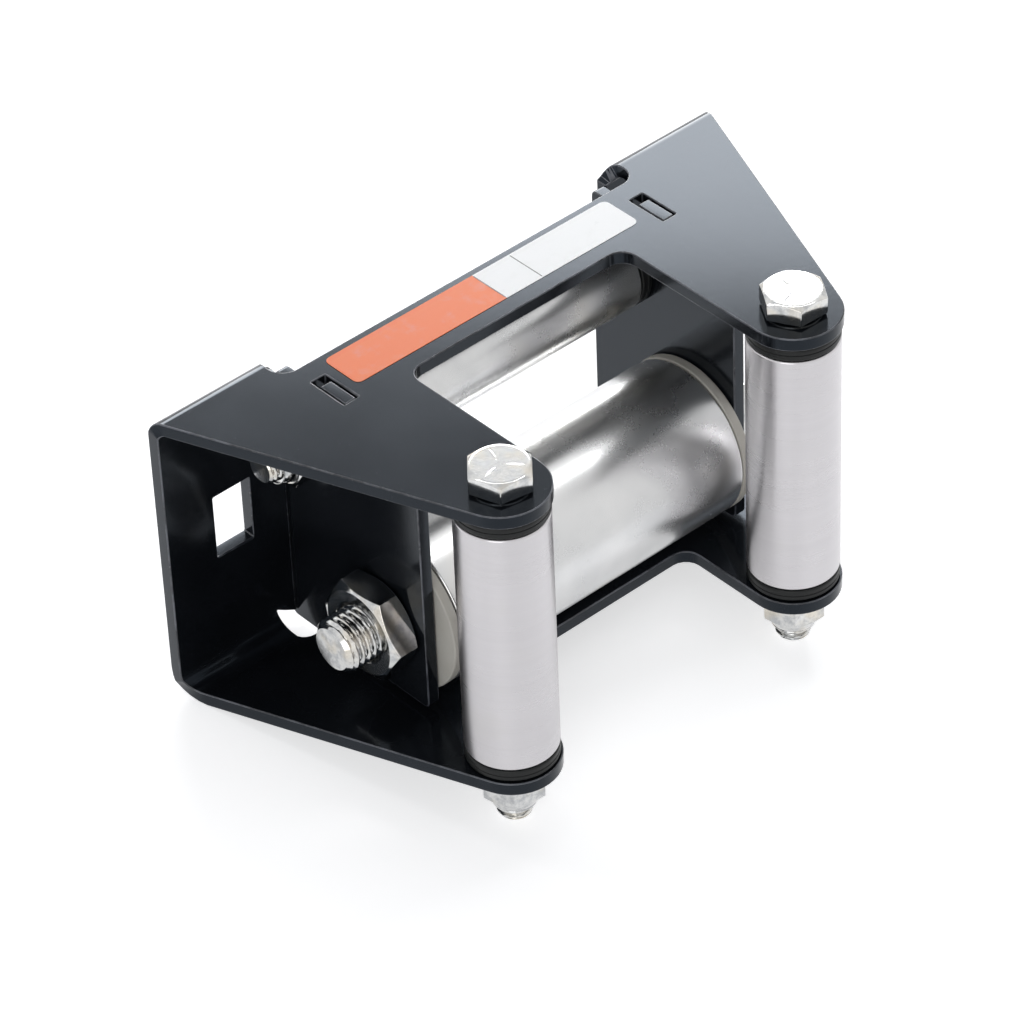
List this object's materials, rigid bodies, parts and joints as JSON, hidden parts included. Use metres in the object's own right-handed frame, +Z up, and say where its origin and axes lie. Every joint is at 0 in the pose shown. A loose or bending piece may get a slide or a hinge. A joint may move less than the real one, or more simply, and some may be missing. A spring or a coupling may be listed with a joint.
{
  "type": "roller fairlead",
  "caption": "Folded steel winch fairlead bracket with vertical rollers in front of a large and a small horizontal roller.",
  "frame": {"origin": "on the mounting plane at the back of the wings, midway between the two mounting slots and level with their centres", "axes": "+X right along the width, +Y to the rear out of the mounting plane towards the winch, +Z up"},
  "size_m": [0.1594, 0.078, 0.0952],
  "materials": {
    "black_coat": "smooth semi-gloss black powder coat",
    "turned_steel": "satin, fine turning lines around the axis",
    "zinc_plate": "bright zinc plate, slightly streaky",
    "black_plastic": "satin",
    "cream_plastic": "satin"
  },
  "bodies": {
    "bracket_frame": {"bracket": "black_coat", "left_side_plate": "black_coat", "right_side_plate": "black_coat", "vertical_left_bolt": "zinc_plate", "vertical_left_nut": "zinc_plate", "vertical_right_bolt": "zinc_plate", "vertical_right_nut": "zinc_plate", "lower_bolt": "zinc_plate", "lower_nut": "zinc_plate", "upper_bolt": "zinc_plate", "upper_nut": "zinc_plate"},
    "vertical_left_spinner": {"vertical_left_roller": "turned_steel", "vertical_left_bushing_top": "black_plastic", "vertical_left_bushing_bottom": "black_plastic"},
    "vertical_right_spinner": {"vertical_right_roller": "turned_steel", "vertical_right_bushing_top": "black_plastic", "vertical_right_bushing_bottom": "black_plastic"},
    "lower_spinner": {"lower_roller": "zinc_plate", "lower_bushing_left": "cream_plastic", "lower_bushing_right": "cream_plastic"},
    "upper_spinner": {"upper_roller": "zinc_plate", "upper_bushing_left": "black_plastic", "upper_bushing_right": "black_plastic"}
  },
  "joints": [
    {"name": "vertical_left_spin", "type": "hinge", "parent": "bracket_frame", "child": "vertical_left_spinner", "pos_m": [-0.0416, -0.0672, -0.0031], "axis": [0, 0, 1], "continuous": true},
    {"name": "vertical_right_spin", "type": "hinge", "parent": "bracket_frame", "child": "vertical_right_spinner", "pos_m": [0.0416, -0.0672, -0.0031], "axis": [0, 0, 1], "continuous": true},
    {"name": "lower_spin", "type": "hinge", "parent": "bracket_frame", "child": "lower_spinner", "pos_m": [0, -0.0335, -0.0183], "axis": [1, 0, 0], "continuous": true},
    {"name": "upper_spin", "type": "hinge", "parent": "bracket_frame", "child": "upper_spinner", "pos_m": [0, -0.01117, 0.0168], "axis": [1, 0, 0], "continuous": true}
  ]
}
